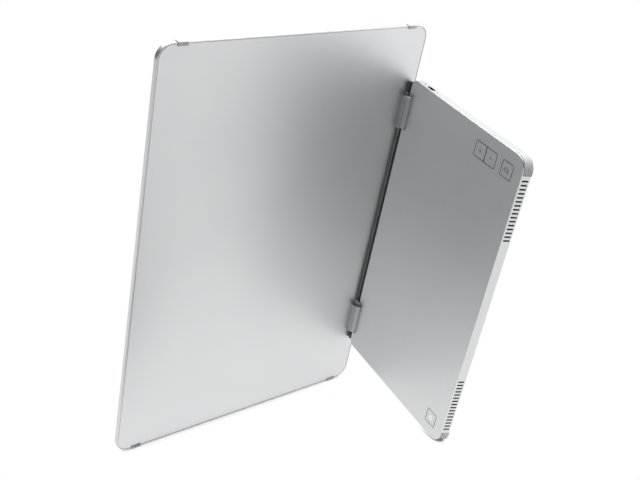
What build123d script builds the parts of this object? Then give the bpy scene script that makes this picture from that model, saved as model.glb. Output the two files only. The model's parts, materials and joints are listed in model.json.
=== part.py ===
from build123d import *
import math
import os

os.makedirs("parts", exist_ok=True)

# A portable monitor: a thin display panel, and a flat base that folds out of its back.
# All sizes are in millimetres, all angles in degrees.
# Panel frame: X across the panel's back, Y along the hinge, Z out of the back face.
# Base frame: X away from the hinge, Y along the hinge, Z out of the face with the buttons.

# Display panel
panel_border_end = 10.95
panel_border_side = 12.9
panel_stack_gap = 0.5
panel_corner_radius = 12.0
rim_width = 0.8
rim_chamfer = 0.3
rim_seam = 0.35
ledge_width = 3.0
rear_cover_thickness = 0.8
rear_cover_chamfer = 0.15
glass_thickness = 0.7
glass_seam = 0.15
glass_chamfer = 0.2

# Screen stack
screen_length = 338.1
screen_width = 225.4
lcd_thickness = 0.9
lcd_border = 1.2
backlight_thickness = 1.3
backlight_border = 0.8
led_bar_width = 3.0
led_bar_thickness = 1.1
led_bar_gap = 0.3
timing_board_hinge_gap = 11.5
timing_board_width = 6.4
timing_board_thickness = 0.8
timing_board_gap = 0.5

# Feet on the panel's short edges
panel_foot_length = 8.1
panel_foot_inset = 18.8
panel_foot_wrap = 2.4
panel_foot_proud = 0.6
panel_foot_recess = 0.3
panel_foot_front_margin = 0.5
panel_foot_seam = 0.3
foot_stem_length = 4.6
foot_stem_height = 1.4
foot_stem_depth = 2.0

# Base
base_end_inset = 44.4
base_depth = 149.1
base_thickness = 8.1
far_edge_angle = 15.5
base_far_radius = 10.8
base_hinge_radius = 6.0
top_cover_thickness = 0.8
top_cover_chamfer = 0.25
tray_wall = 1.6
tray_floor = 1.0
tray_edge_radius = 0.8

# Hinge
opening_angle = 81.0
hinge_axis_inset = 6.54
hinge_axis_offset = 2.3
hinge_axis_depth = 1.2
barrel_radius = 6.9
barrel_length = 29.2
barrel_end_chamfer = 0.4
cove_clearance = 0.33
cove_end_gap = 1.2
cove_wall = 1.2
cove_mouth = 1.2
barrel_cap_thickness = 1.2
barrel_seam_angle = 30.0
barrel_seam = 0.25
pin_radius = 1.2
pin_running_clearance = 0.05
pin_end_clearance = 0.3
pin_end_cover = 0.6
sleeve_wall = 0.65
sleeve_end_wall = 1.7
sleeve_cable_gap = 1.5
sleeve_panel_gap = 0.21
lug_panel_gap = 0.36
lug_length = 9.3
lug_gap = 1.5
lug_end_inset = 4.1
spine_panel_gap = 0.51
spine_web_reach = 3.0
spine_end_gap = 0.7
bracket_thickness = 1.2
bracket_cove_gap = 1.87
bracket_leaf_depth = 18.0
bracket_leaf_overlap = 1.6
bracket_arm_reach = 12.0
bracket_arm_margin = 1.2
bracket_seat_gap = 0.1
hinge_plate_thickness = 0.5
hinge_plate_width = 8.0
hinge_plate_margin = 0.2

# Feet on the base
corner_foot_start_side = 12.7
corner_foot_start_end = 11.7
corner_foot_groove = 0.6
corner_foot_proud = 0.4
corner_foot_edge_radius = 0.8
corner_foot_inset = 1.6
corner_foot_seam = 0.3
corner_backing = 1.2
strip_width = 6.0
strip_end_margin = 25.6
strip_distance = 22.0
strip_corner_radius = 2.9
strip_recess = 0.5
floor_facet = 0.3
settling_steps = 8

# Slots in the base's far edge
slot_count = 16
slot_pitch = 3.37
slot_width = 1.42
slot_corner_radius = 0.35
slot_top = 1.5
slot_bottom = 1.5
slot_end_inset = 17.25
slot_cutter_reach = 3.2
mesh_thickness = 0.4
mesh_margin = 0.2
speaker_length = 42.0
speaker_depth = 18.6
speaker_gap = 0.3
speaker_cover_gap = 1.46
speaker_slot_margin = 3.55
speaker_corner_radius = 2.0

# Buttons
button_window = 13.0
button_pair_window = 26.1
button_corner_radius = 1.2
button_gap = 0.3
button_end_inset = 16.5
button_far_inset = 16.2
button_pair_pitch = 26.2
button_travel = 0.4
button_chamfer = 0.15
button_flange_reach = 0.9
button_flange_thickness = 0.6
button_stem_radius = 1.2
button_stem_length = 0.8
light_ring_radius = 1.95
light_ring_width = 0.65
light_ring_depth = 0.8
dome_radius = 2.4
dome_height = 0.4
key_board_thickness = 0.8
key_board_width = 18.0
key_board_margin = 1.8
power_board_length = 24.0

# USB-C port in the base's upper end
port_distance = 21.1
port_depth = 3.9
port_cut_width = 9.3
port_cut_height = 3.6
port_shell_width = 8.94
port_shell_height = 3.26
port_shell_wall = 0.3
port_shell_length = 7.35
port_recess = 0.6
port_tongue_width = 6.7
port_tongue_thickness = 0.7
port_tongue_length = 4.45
port_block_length = 1.6
port_bracket_thickness = 1.0
port_bracket_width = 22.0
port_bracket_cover_gap = 0.1
port_bracket_clearance = 0.1
port_screw_offset = 8.6
port_screw_head_radius = 0.75
port_screw_head_depth = 0.5
port_screw_radius = 0.45
port_screw_length = 2.9
port_board_drop = 0.4

# Boards inside the base
board_thickness = 1.0
board_distance = 12.0
board_length = 91.0
board_end_gap = 0.6
board_boss_gap = 9.7
post_radius = 2.0
post_inset = 4.0
port_post_shift = 15.0
shield_length = 40.0
shield_screw_gap = 0.4
shield_far_gap = 12.0
shield_height = 1.5
shield_wall = 0.3
cable_width = 8.0
cable_thickness = 0.25
cable_cove_gap = 0.3
cable_shield_gap = 0.8
cable_inset = 4.5
panel_cable_width = 4.0
panel_cable_overlap = 4.0
panel_cable_tail = 1.2
panel_cable_clearance = 0.25
panel_cable_side_clearance = 0.3

# Fasteners
screw_radius = 0.9
screw_head_radius = 1.6
screw_head_height = 0.6
screw_hole_clearance = 0.05
board_screw_tip_gap = 0.2
key_screw_length = 2.2
cover_screw_head_radius = 2.0
cover_screw_head_height = 0.6
cover_screw_length = 5.0
boss_radius = 2.3
boss_gap = 0.1
boss_board_gap = 0.4
boss_hinge_gap = 15.5
boss_key_gap = 11.8
boss_side_inset = 6.6
boss_far_inset = 7.1
boss_speaker_gap = 11.95
bracket_screw_grip = 0.5
bracket_screw_inset = 4.0
hinge_screw_radius = 0.7
hinge_screw_head_radius = 1.3
hinge_screw_head_height = 0.7
hinge_screw_length = 4.0
hinge_screw_shift = 3.9
hinge_screw_spread = 18.0
hinge_screw_gap = 0.05

# The panel, from its screen outwards
panel_length = screen_length + 2 * panel_border_end
panel_width = screen_width + 2 * panel_border_side
panel_thickness = glass_thickness + lcd_thickness + backlight_thickness
panel_thickness += panel_stack_gap + rear_cover_thickness
panel_edge_x = panel_width / 2
panel_edge_y = panel_length / 2
panel_foot_offset = panel_edge_x - panel_foot_inset
lcd_low = -panel_thickness + glass_thickness
backlight_low = lcd_low + lcd_thickness

# The base's shells, from the panel
base_length = panel_length - 2 * base_end_inset
base_edge_y = base_length / 2
inner_wall_s = base_depth - tray_wall
inner_wall_y = base_edge_y - tray_wall
floor_top = -base_thickness + tray_floor
far_edge_slope = math.tan(math.radians(far_edge_angle))
cover_low = -top_cover_thickness
strip_length = base_length - 2 * strip_end_margin

# The hinge, from its pin outwards
sleeve_radius = pin_radius + pin_running_clearance + sleeve_wall
hinge_axis_height = sleeve_radius + sleeve_panel_gap
axis_x = panel_edge_x - hinge_axis_inset
axis_s = -hinge_axis_offset
axis_z = -hinge_axis_depth
lug_radius = hinge_axis_height - lug_panel_gap
spine_radius = hinge_axis_height - spine_panel_gap
lug_outer = base_edge_y - lug_end_inset
lug_inner = lug_outer - lug_length
barrel_outer = lug_inner - lug_gap
barrel_inner = barrel_outer - barrel_length
barrel_centre = (barrel_inner + barrel_outer) / 2
cove_radius = barrel_radius + cove_clearance
cove_inner = barrel_inner - cove_end_gap
cove_outer = barrel_outer + cove_end_gap
cove_reach = axis_s + cove_radius + cove_wall
sleeve_outer = barrel_outer - sleeve_end_wall
sleeve_inner = barrel_inner + panel_cable_overlap + sleeve_cable_gap
seam_z = hinge_axis_height + barrel_radius * math.sin(math.radians(barrel_seam_angle))
bracket_low = cover_low - bracket_thickness
bracket_arm_inner = lug_inner + bracket_arm_margin
bracket_arm_outer = lug_outer - bracket_seat_gap
bracket_leaf_near = cove_reach + bracket_cove_gap
bracket_screw_far = bracket_leaf_near + bracket_leaf_depth - bracket_screw_inset
hinge_plate_low = -rear_cover_thickness - hinge_plate_thickness

# The keys, from the base's far upper corner
button_offset = base_edge_y - button_end_inset
button_single_distance = base_depth - button_far_inset
button_pair_distance = button_single_distance - button_pair_pitch
flange_low = cover_low - button_gap - button_flange_thickness
stem_low = flange_low - button_stem_length
dome_top = stem_low - button_travel - button_gap
key_board_top = dome_top - dome_height
key_board_low = key_board_top - key_board_thickness
key_post_distance = button_pair_distance - button_pair_window / 2
key_board_near = key_post_distance - post_radius - key_board_margin
key_board_far = button_single_distance + button_window / 2

# The slots and what is behind them, from the base's ends
slot_first = base_edge_y - slot_end_inset
slot_span = (slot_count - 1) * slot_pitch
slot_height = base_thickness - slot_top - slot_bottom
speaker_near = slot_first - slot_span - speaker_slot_margin
speaker_high = cover_low - speaker_cover_gap

# The screws, the main board and its cables
boss_side_distance = key_board_near - boss_key_gap - boss_radius
boss_side_offset = base_edge_y - boss_side_inset
boss_hinge_distance = board_distance - boss_radius - boss_board_gap
boss_hinge_offset = barrel_inner - boss_hinge_gap
boss_far_distance = base_depth - boss_far_inset
boss_far_offset = speaker_near - boss_speaker_gap - boss_radius
board_top = -port_depth - port_board_drop
board_low = board_top - board_thickness
board_far = boss_side_distance - boss_radius - board_boss_gap
shield_near = bracket_screw_far + screw_head_radius + shield_screw_gap
shield_depth = board_far - shield_far_gap - shield_near
shield_middle = shield_near + shield_depth / 2
board_outer = inner_wall_y - port_bracket_thickness - board_end_gap
board_inner = board_outer - board_length
board_screw_length = board_low - floor_top - board_screw_tip_gap
timing_board_end = barrel_inner - timing_board_hinge_gap
cable_distance = cove_reach + cable_cove_gap
cable_place = barrel_inner + cable_inset


def span_box(x_low, x_high, y_low, y_high, z_low, z_high):
    """A block between three pairs of coordinates."""
    centre = ((x_low + x_high) / 2, (y_low + y_high) / 2, (z_low + z_high) / 2)
    return Pos(*centre) * Box(x_high - x_low, y_high - y_low, z_high - z_low)


def slab(sketch, z_low, z_high):
    """A flat sketch given its thickness."""
    return extrude(Pos(0, 0, z_low) * sketch, amount=z_high - z_low)


def round_bar_y(radius, x, z, y_low, y_high):
    """A round bar along the hinge direction."""
    return Pos(x, (y_low + y_high) / 2, z) * Rot(90, 0, 0) * Cylinder(radius, y_high - y_low)


def round_bar_z(radius, x, y, z_low, z_high):
    """A round bar square to the faces."""
    return Pos(x, y, (z_low + z_high) / 2) * Cylinder(radius, z_high - z_low)


def both_ends(shape):
    """The shape and its mirror image across the middle of the hinge line."""
    return shape + mirror(shape, about=Plane.XZ)


def panel_outline(inset):
    """The panel's rounded rectangle, drawn in by an inset."""
    width = panel_width - 2 * inset
    length = panel_length - 2 * inset
    return RectangleRounded(width, length, panel_corner_radius - inset)


def base_outline(inset, depth):
    """The base's outline some depth below its face, with large corners far from the hinge."""
    reach = base_depth + far_edge_slope * depth
    sketch = Rectangle(reach - 2 * inset, base_length - 2 * inset)
    sketch = fillet(sketch.vertices().group_by(Axis.X)[-1], base_far_radius - inset)
    sketch = fillet(sketch.vertices().group_by(Axis.X)[0], base_hinge_radius - inset)
    return Pos(reach / 2, 0, -depth) * sketch


def base_slab(inset, z_low, z_high):
    """A layer of the base. Its far edge leans out with the depth."""
    return loft([base_outline(inset, -z_low), base_outline(inset, -z_high)], ruled=True)


def lean_angle():
    """How far the panel leans back, with its lower feet and the base's corner on the floor."""
    opening = math.radians(opening_angle)
    hinge_edge_z = hinge_axis_height
    hinge_edge_z += hinge_axis_offset * math.sin(opening) - hinge_axis_depth * math.cos(opening)
    corner_depth = base_thickness + corner_foot_proud
    corner_s = base_depth - base_far_radius + far_edge_slope * corner_depth
    corner_z = hinge_edge_z + corner_s * math.sin(opening) + corner_depth * math.cos(opening)
    along = panel_edge_y + panel_foot_proud - (base_edge_y - base_far_radius)
    out = corner_z - panel_foot_proud
    lean = 0.0
    # The corner's arc is seen a little flattened, so its reach depends on the lean
    for _ in range(settling_steps):
        flat = math.hypot(math.cos(lean), math.sin(opening) * math.sin(lean))
        lean = math.acos(base_far_radius * flat / math.hypot(along, out)) - math.atan2(out, along)
    return math.degrees(lean)


lean = lean_angle()
base_in_panel = Pos(axis_x, 0, hinge_axis_height) * Rot(0, 180 + opening_angle, 0)
base_in_panel = base_in_panel * Pos(-axis_s, 0, -axis_z)


def below_floor():
    """Everything below the floor, in the panel frame. Cuts a flat on each foot that stands."""
    tilt = math.radians(lean)
    up = Vector(0, math.cos(tilt), -math.sin(tilt))
    lowest = -(panel_edge_y + panel_foot_proud) * up.Y + panel_foot_proud * up.Z
    floor = Plane(origin=up * (lowest + floor_facet), z_dir=up)
    return floor * Pos(0, 0, -panel_length / 2) * Box(panel_length * 2, panel_length * 2, panel_length)


# Display panel pieces, in the panel frame

def foot_recess():
    """The shallow seat for one foot, on the upper right of the panel."""
    half = panel_foot_length / 2 + panel_foot_seam
    x_low = panel_foot_offset - half
    x_high = panel_foot_offset + half
    y_in = panel_edge_y - panel_foot_wrap - panel_foot_seam
    z_front = -panel_thickness + panel_foot_front_margin - panel_foot_seam
    beyond = panel_edge_y + panel_foot_recess
    back = span_box(x_low, x_high, y_in, beyond, -panel_foot_recess, panel_foot_recess)
    side = span_box(x_low, x_high, panel_edge_y - panel_foot_recess, beyond, z_front, 0)
    return back + side


def foot_stem():
    """The peg that holds a foot in the frame's edge."""
    half = foot_stem_length / 2
    middle = -panel_thickness / 2
    z_low = middle - foot_stem_height / 2
    y_high = panel_edge_y - panel_foot_recess
    x_low = panel_foot_offset - half
    x_high = panel_foot_offset + half
    return span_box(x_low, x_high, y_high - foot_stem_depth, y_high, z_low, z_low + foot_stem_height)


def on_four_corners(shape):
    """The shape repeated at the panel's four foot places."""
    pair = both_ends(shape)
    return pair + mirror(pair, about=Plane.YZ)


def mid_frame():
    body = slab(panel_outline(0), -panel_thickness, 0)
    rims = body.edges().group_by(Axis.Z)
    body = chamfer(rims[0] + rims[-1], rim_chamfer)
    body -= slab(panel_outline(rim_width), -rear_cover_thickness, 0)
    body -= slab(panel_outline(rim_width), -panel_thickness, lcd_low)
    body -= slab(panel_outline(rim_width + ledge_width), -panel_thickness, 0)
    return body - on_four_corners(foot_recess() + foot_stem())


def rear_cover():
    body = slab(panel_outline(rim_width + rim_seam), -rear_cover_thickness, 0)
    body = chamfer(body.edges().group_by(Axis.Z)[-1], rear_cover_chamfer)
    body -= on_four_corners(foot_recess())
    body -= both_ends(hinge_screw_holes())
    return body - panel_cable_slot()


def cover_glass():
    body = slab(panel_outline(rim_width + glass_seam), -panel_thickness, lcd_low)
    return chamfer(body.edges().group_by(Axis.Z)[0], glass_chamfer)


def lcd_cell():
    sketch = Rectangle(screen_width + 2 * lcd_border, screen_length + 2 * lcd_border)
    return slab(sketch, lcd_low, backlight_low)


def backlight():
    sketch = Rectangle(screen_width + 2 * backlight_border, screen_length + 2 * backlight_border)
    return slab(sketch, backlight_low, backlight_low + backlight_thickness)


def led_bar():
    x_high = -screen_width / 2 - backlight_border - led_bar_gap
    half = screen_length / 2
    z_high = backlight_low + led_bar_thickness
    return span_box(x_high - led_bar_width, x_high, -half, half, backlight_low, z_high)


def timing_board():
    x_low = screen_width / 2 + lcd_border + timing_board_gap
    end = timing_board_end
    z_high = -rear_cover_thickness
    z_low = z_high - timing_board_thickness
    return span_box(x_low, x_low + timing_board_width, -end, end, z_low, z_high)


def panel_cable():
    """The flat cable from the timing board to the upper hinge."""
    x_low = axis_x - panel_cable_width / 2
    z_high = -rear_cover_thickness - timing_board_thickness
    z_low = z_high - cable_thickness
    y_low = timing_board_end - panel_cable_overlap
    y_high = barrel_inner + panel_cable_overlap
    run = span_box(x_low, x_low + panel_cable_width, y_low, y_high, z_low, z_high)
    tail_low = y_high - cable_thickness
    return run + span_box(x_low, x_low + panel_cable_width, tail_low, y_high, z_low, panel_cable_tail)


def panel_cable_slot():
    """The way for the cable through the cover, the hinge plate and the hinge housing."""
    half = panel_cable_width / 2 + panel_cable_side_clearance
    y_tail = barrel_inner + panel_cable_overlap
    y_low = y_tail - cable_thickness - panel_cable_clearance
    y_high = y_tail + panel_cable_clearance
    z_high = panel_cable_tail + panel_cable_clearance
    return span_box(axis_x - half, axis_x + half, y_low, y_high, hinge_plate_low, z_high)


def panel_foot():
    """One rubber foot, on the lower right of the panel, with a flat where it stands."""
    half = panel_foot_length / 2
    x_low = panel_foot_offset - half
    x_high = panel_foot_offset + half
    y_in = panel_edge_y - panel_foot_wrap
    y_out = panel_edge_y + panel_foot_proud
    y_seat = panel_edge_y - panel_foot_recess
    z_front = -panel_thickness + panel_foot_front_margin
    back = span_box(x_low, x_high, y_in, y_out, -panel_foot_recess, panel_foot_proud)
    side = span_box(x_low, x_high, y_seat, y_out, z_front, panel_foot_proud)
    foot = mirror(back + side + foot_stem(), about=Plane.XZ)
    return foot - below_floor()


# Hinge pieces fixed to the panel, for the upper hinge

def barrel(radius, y_low, y_high):
    """A round bar about the hinge axis that stands on the panel's back."""
    bar = round_bar_y(radius, axis_x, hinge_axis_height, y_low, y_high)
    top = hinge_axis_height + barrel_radius
    return bar & span_box(axis_x - radius, panel_edge_x, y_low, y_high, 0, top)


def hinge_screw_places():
    x = axis_x - hinge_screw_shift
    half = hinge_screw_spread / 2
    return [(x, barrel_centre - half), (x, barrel_centre + half)]


def hinge_screw_holes():
    radius = hinge_screw_radius + hinge_screw_gap
    z_high = hinge_plate_low + hinge_screw_length + hinge_screw_gap
    holes = Part()
    for x, y in hinge_screw_places():
        holes += round_bar_z(radius, x, y, hinge_plate_low, z_high)
    return holes


def hinge_housing():
    body = barrel(barrel_radius, barrel_inner, barrel_outer)
    ends = body.edges().group_by(Axis.Y)
    arcs = ends[0].filter_by(GeomType.CIRCLE) + ends[-1].filter_by(GeomType.CIRCLE)
    body = chamfer(arcs, barrel_end_chamfer)
    above = span_box(axis_x - barrel_radius, axis_x + barrel_radius, barrel_inner, barrel_outer,
                     seam_z - barrel_seam, hinge_axis_height + barrel_radius)
    core = barrel(barrel_radius - barrel_cap_thickness, barrel_inner, barrel_outer)
    body -= above - core
    body -= round_bar_y(sleeve_radius, axis_x, hinge_axis_height, sleeve_inner, sleeve_outer)
    way = pin_radius + pin_end_clearance
    body -= round_bar_y(way, axis_x, hinge_axis_height, sleeve_outer, barrel_outer)
    return body - hinge_screw_holes() - panel_cable_slot()


def hinge_cap():
    """The curved cover over the top of a hinge housing."""
    body = barrel(barrel_radius, barrel_inner, barrel_outer)
    body -= barrel(barrel_radius - barrel_cap_thickness, barrel_inner, barrel_outer)
    top = hinge_axis_height + barrel_radius
    body &= span_box(axis_x - barrel_radius, panel_edge_x, barrel_inner, barrel_outer, seam_z, top)
    ends = body.edges().filter_by(GeomType.CIRCLE).group_by(Axis.Y)
    outer_arcs = [end.sort_by(SortBy.RADIUS)[-1] for end in (ends[0], ends[-1])]
    return chamfer(outer_arcs, barrel_end_chamfer)


def friction_sleeve():
    body = round_bar_y(sleeve_radius, axis_x, hinge_axis_height, sleeve_inner, sleeve_outer)
    bore = pin_radius + pin_running_clearance
    return body - round_bar_y(bore, axis_x, hinge_axis_height, sleeve_inner, sleeve_outer)


def hinge_plate():
    """The steel strip inside the panel that a hinge housing is screwed to."""
    x_high = panel_edge_x - rim_width - ledge_width - hinge_plate_margin
    x_low = x_high - hinge_plate_width
    z_high = -rear_cover_thickness
    body = span_box(x_low, x_high, barrel_inner, barrel_outer, hinge_plate_low, z_high)
    return body - hinge_screw_holes() - panel_cable_slot()


def hinge_screws():
    z_low = hinge_plate_low - hinge_screw_head_height
    z_high = hinge_plate_low + hinge_screw_length
    screws = Part()
    for x, y in hinge_screw_places():
        screws += round_bar_z(hinge_screw_radius, x, y, hinge_plate_low, z_high)
        screws += round_bar_z(hinge_screw_head_radius, x, y, z_low, hinge_plate_low)
    return both_ends(screws)


# Hinge pieces fixed to the base, for the upper hinge, in the base frame

def hinge_pin():
    return round_bar_y(pin_radius, axis_s, axis_z, sleeve_inner, lug_outer - pin_end_cover)


def hinge_bracket():
    lug = round_bar_y(lug_radius, axis_s, axis_z, lug_inner, lug_outer)
    arm = span_box(axis_s, bracket_arm_reach, bracket_arm_inner, bracket_arm_outer, bracket_low, cover_low)
    leaf_high = bracket_arm_inner + bracket_leaf_overlap
    leaf_far = bracket_leaf_near + bracket_leaf_depth
    leaf = span_box(bracket_leaf_near, leaf_far, barrel_inner, leaf_high, bracket_low, cover_low)
    body = lug + arm + leaf
    body -= round_bar_y(pin_radius, axis_s, axis_z, lug_inner, lug_outer - pin_end_cover)
    return body - bracket_screw_holes()


def bracket_screw_places():
    near = bracket_leaf_near + bracket_screw_inset
    inner = barrel_inner + bracket_screw_inset
    outer = bracket_arm_inner - bracket_screw_inset
    return [(near, inner), (bracket_screw_far, inner), (near, outer), (bracket_screw_far, outer)]


def bracket_screw_holes():
    radius = screw_radius + screw_hole_clearance
    holes = Part()
    for s, y in bracket_screw_places():
        holes += round_bar_z(radius, s, y, bracket_low, cover_low)
    return holes


def bracket_screw_shanks():
    shanks = Part()
    for s, y in bracket_screw_places():
        shanks += round_bar_z(screw_radius, s, y, bracket_low, cover_low + bracket_screw_grip)
    return shanks


def bracket_screws():
    """The screws that hold the two brackets up to the top cover."""
    screws = bracket_screw_shanks()
    for s, y in bracket_screw_places():
        screws += round_bar_z(screw_head_radius, s, y, bracket_low - screw_head_height, bracket_low)
    return both_ends(screws)


def hinge_spine():
    """The dark bar along the base's hinge edge, between the two hinges."""
    end = cove_inner - spine_end_gap
    bar = round_bar_y(spine_radius, axis_s, axis_z, -end, end)
    return bar + span_box(axis_s, spine_web_reach, -end, end, bracket_low, cover_low)


def cove(radius, margin):
    """The round hollow in the base's hinge edge that turns about a hinge housing."""
    return round_bar_y(radius, axis_s, axis_z, cove_inner - margin, cove_outer + margin)


def cove_opening():
    """Where a hollow comes out through the edge of the base's outer face."""
    return span_box(axis_s, cove_mouth, cove_inner, cove_outer, -base_thickness, axis_z)


# Base shells

def screw_boss_places():
    return [
        (boss_hinge_distance, boss_hinge_offset),
        (boss_side_distance, boss_side_offset),
        (boss_far_distance, boss_far_offset),
    ]


def window(size_s, s):
    """One opening for buttons in the top cover."""
    place = Pos(s, button_offset)
    return place * RectangleRounded(size_s, button_window, button_corner_radius)


def base_top_cover():
    body = base_slab(0, cover_low, -top_cover_chamfer)
    body += loft([base_outline(0, top_cover_chamfer), base_outline(top_cover_chamfer, 0)], ruled=True)
    single = slab(window(button_window, button_single_distance), cover_low, 0)
    body -= both_ends(single)
    body -= slab(window(button_pair_window, button_pair_distance), cover_low, 0)
    body -= both_ends(cove(cove_radius, 0))
    bosses = Part()
    pilots = bracket_screw_shanks()
    boss_low = floor_top + boss_gap
    for s, y in screw_boss_places():
        bosses += round_bar_z(boss_radius, s, y, boss_low, cover_low)
        pilots += round_bar_z(screw_radius, s, y, boss_low, boss_low + cover_screw_length)
    return body + both_ends(bosses) - both_ends(pilots)


def corner_band(outer, inner, seam, z_low, z_high):
    """A band round the base's lower far corner, between two offsets from the outline."""
    band = base_slab(-outer, z_low, z_high) - base_slab(inner, z_low, z_high)
    s_low = base_depth - corner_foot_start_end - seam
    y_high = -(base_edge_y - corner_foot_start_side) + seam
    return band & span_box(s_low, s_low + base_depth, y_high - base_depth, y_high, z_low, z_high)


def slots():
    """The row of slots near the upper end of the base's far edge."""
    middle = -slot_top - slot_height / 2
    middle_s = base_depth - far_edge_slope * middle
    cutters = Part()
    for index in range(slot_count):
        place = Pos(middle_s, slot_first - index * slot_pitch, middle) * Rot(0, 90, 0)
        shape = RectangleRounded(slot_height, slot_width, slot_corner_radius)
        cutters += place * extrude(shape, amount=slot_cutter_reach, both=True)
    return cutters


def port_profile(width, height):
    """A flat-sided round outline in the base's upper end."""
    place = Plane(origin=(port_distance, base_edge_y, -port_depth), x_dir=(1, 0, 0), z_dir=(0, 1, 0))
    return place * SlotOverall(width, height)


def port_screw_places():
    return [port_distance - port_screw_offset, port_distance + port_screw_offset]


def board_post_places():
    """Where the main board is held: four corners, the one by the port moved clear of it."""
    near = board_distance + post_inset
    far = board_far - post_inset
    y_high = board_outer - post_inset
    y_low = board_inner + post_inset
    return [(near, y_low), (far, y_low), (near + port_post_shift, y_high), (far, y_high)]


def key_post_places():
    """Where the small board under the three upper buttons is held."""
    single_edge = button_single_distance - button_window / 2
    pair_edge = button_pair_distance + button_pair_window / 2
    return [(key_post_distance, button_offset), ((pair_edge + single_edge) / 2, button_offset)]


def power_post_places():
    """Where the small board under the power button is held."""
    shift = button_window / 2 + button_flange_reach + screw_head_radius
    return [(button_single_distance - shift, -button_offset)]


def board_posts():
    body = Part()
    for s, y in board_post_places():
        body += round_bar_z(post_radius, s, y, floor_top, board_low)
    for s, y in key_post_places() + power_post_places():
        body += round_bar_z(post_radius, s, y, floor_top, key_board_low)
    return body


def board_screw_shanks():
    shanks = Part()
    for s, y in board_post_places():
        shanks += round_bar_z(screw_radius, s, y, board_low - board_screw_length, board_top)
    for s, y in key_post_places() + power_post_places():
        shanks += round_bar_z(screw_radius, s, y, key_board_low - key_screw_length, key_board_top)
    return shanks


def rounded_slab(z_low, radius):
    """The base below its top cover, down to a level, with the lower edge rounded."""
    body = base_slab(0, z_low, cover_low)
    return fillet(body.edges().group_by(Axis.Z)[0], radius)


def base_tray():
    outer = rounded_slab(-base_thickness, tray_edge_radius)
    cavity = base_slab(tray_wall, floor_top, cover_low)
    body = outer - cavity
    body += both_ends(cove(cove_radius + cove_wall, cove_wall)) & outer
    backing = corner_band(0, corner_foot_inset + corner_backing, corner_backing, floor_top, cover_low)
    body += both_ends(backing)
    body += board_posts() - board_screw_shanks()
    body -= both_ends(cove(cove_radius, 0) + cove_opening())
    low = -base_thickness - corner_foot_proud
    pocket = corner_band(corner_foot_proud, corner_foot_inset, corner_foot_seam, low, cover_low)
    body -= both_ends(pocket)
    body -= both_ends(slots())
    body -= port_solid(port_cut_width, port_cut_height, 0, port_recess + port_shell_length)
    for s in port_screw_places():
        body -= port_screw(s, screw_hole_clearance)
    body -= strip(0)
    for s, y in screw_boss_places():
        body -= both_ends(cover_screw(s, y, screw_hole_clearance))
    arm = span_box(axis_s, bracket_arm_reach, bracket_arm_inner - bracket_seat_gap,
                   bracket_arm_outer + bracket_seat_gap, bracket_low, cover_low)
    body -= both_ends(arm)
    web_end = cove_inner - spine_end_gap + bracket_seat_gap
    return body - span_box(axis_s, spine_web_reach, -web_end, web_end, bracket_low, cover_low)


# Pieces that stand on the base's shells

def corner_foot():
    """The rubber bumper round the base's lower far corner, with a flat where it stands."""
    foot_low = -base_thickness - corner_foot_proud
    foot = corner_band(0, corner_foot_inset, 0, foot_low, cover_low - corner_foot_groove)
    foot &= rounded_slab(foot_low, corner_foot_edge_radius)
    return foot - base_in_panel.inverse() * below_floor()


def strip(proud):
    """The rubber strip across the base's outer face, near the hinge."""
    sketch = RectangleRounded(strip_width, strip_length, strip_corner_radius)
    return slab(Pos(strip_distance, 0) * sketch, -base_thickness - proud, -base_thickness + strip_recess)


def cover_screw(s, y, clearance):
    """A screw up through the tray's floor into a boss of the top cover."""
    head_low = -base_thickness
    head_high = head_low + cover_screw_head_height
    head = round_bar_z(cover_screw_head_radius + clearance, s, y, head_low, head_high)
    tip = floor_top + boss_gap + cover_screw_length
    return head + round_bar_z(screw_radius + clearance, s, y, head_high, tip)


def base_screws():
    screws = Part()
    for s, y in screw_boss_places():
        screws += cover_screw(s, y, 0)
    return both_ends(screws)


# Buttons, in the base frame

def button(size_s, s, side, flange_low_side, flange_high_side):
    """A key cap with a flange that keeps it behind the top cover."""
    half_s = size_s / 2
    cap_sketch = Pos(s, side * button_offset) * RectangleRounded(
        size_s, button_window - 2 * button_gap, button_corner_radius - button_gap)
    cap = slab(cap_sketch, flange_low, 0)
    cap = chamfer(cap.edges().group_by(Axis.Z)[-1], button_chamfer)
    reach = button_gap + button_flange_reach
    half_y = button_window / 2 - button_gap + reach
    flange = span_box(s - half_s - flange_low_side * reach, s + half_s + flange_high_side * reach,
                      side * button_offset - half_y, side * button_offset + half_y,
                      flange_low, flange_low + button_flange_thickness)
    stem = round_bar_z(button_stem_radius, s, side * button_offset, stem_low, flange_low)
    return cap + flange + stem


def pair_button_size():
    return (button_pair_window - 3 * button_gap) / 2


def pair_button_places():
    shift = (pair_button_size() + button_gap) / 2
    return [button_pair_distance - shift, button_pair_distance + shift]


def single_button_size():
    return button_window - 2 * button_gap


def light_ring():
    """The lit ring set into the power button."""
    place = (button_single_distance, -button_offset, -light_ring_depth, 0)
    inner = light_ring_radius - light_ring_width
    return round_bar_z(light_ring_radius, *place) - round_bar_z(inner, *place)


def power_button():
    return button(single_button_size(), button_single_distance, -1, 1, 1) - light_ring()


def dome(s, y):
    """One dome switch on its board."""
    body = round_bar_z(dome_radius, s, y, key_board_top, dome_top)
    return fillet(body.edges().group_by(Axis.Z)[-1], dome_height / 2)


def small_board(s_low, y, screw_places):
    """A board under a group of buttons, up to their far edge."""
    half = key_board_width / 2
    body = span_box(s_low, key_board_far, y - half, y + half, key_board_low, key_board_top)
    for place in screw_places:
        body -= round_bar_z(screw_radius + screw_hole_clearance, *place, key_board_low, key_board_top)
    return body


def key_board():
    return small_board(key_board_near, button_offset, key_post_places())


def power_board():
    return small_board(key_board_far - power_board_length, -button_offset, power_post_places())


# Electronics in the base

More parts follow.
